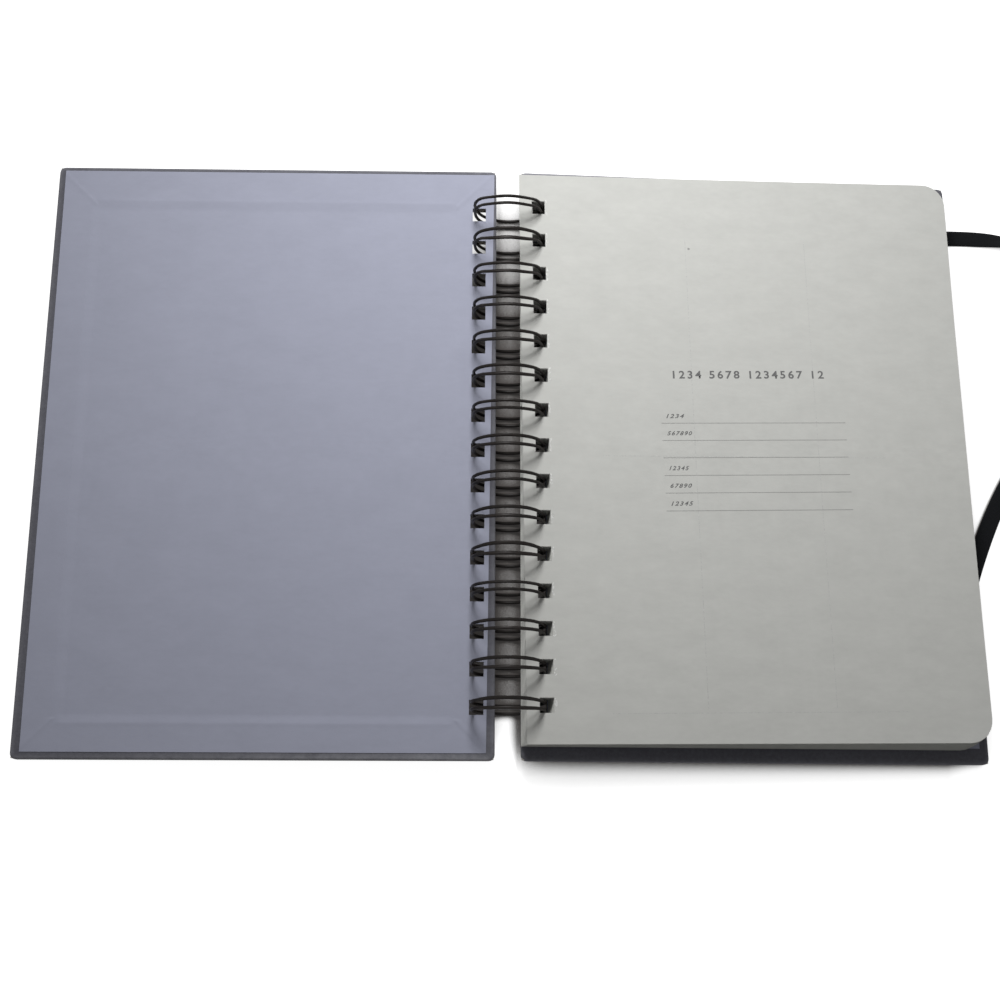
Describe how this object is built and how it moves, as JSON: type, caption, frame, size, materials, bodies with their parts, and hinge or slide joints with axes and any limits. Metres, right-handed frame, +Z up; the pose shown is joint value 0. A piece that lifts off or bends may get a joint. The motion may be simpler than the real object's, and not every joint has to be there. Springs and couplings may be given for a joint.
{
  "type": "wire-bound planner",
  "caption": "Hard-cover planner bound with twin-loop wire, lying open at its first page, with two hinged covers, a turning block of sheets and an elastic closing band.",
  "frame": {"origin": "on the table plane, straight below the axis of the binding loops, halfway along the binding", "axes": "+X from the binding towards the fore edge of the block of sheets, +Y along the binding towards the head of the pages, +Z up"},
  "size_m": [0.375, 0.2126, 0.0254],
  "materials": {
    "greyboard": "matte",
    "cover_cloth": "matte",
    "endpaper": "matte",
    "page_paper": "matte",
    "binding_wire": "satin",
    "elastic": "matte"
  },
  "bodies": {
    "back_cover": {"back_board": "greyboard", "back_wrap": "cover_cloth", "back_lining": "endpaper", "twin_loop_wire": "binding_wire", "elastic_band": "elastic"},
    "front_cover": {"front_board": "greyboard", "front_wrap": "cover_cloth", "front_lining": "endpaper"},
    "pages": {"page_block": "page_paper"}
  },
  "joints": [
    {"name": "front_cover_hinge", "type": "hinge", "parent": "back_cover", "child": "front_cover", "pos_m": [0, 0, 0.0127], "axis": [0, 1, 0], "range_deg": [0, 183.45]},
    {"name": "page_turn_hinge", "type": "hinge", "parent": "back_cover", "child": "pages", "pos_m": [0, 0, 0.0127], "axis": [0, -1, 0], "range_deg": [0, 183.45]}
  ]
}
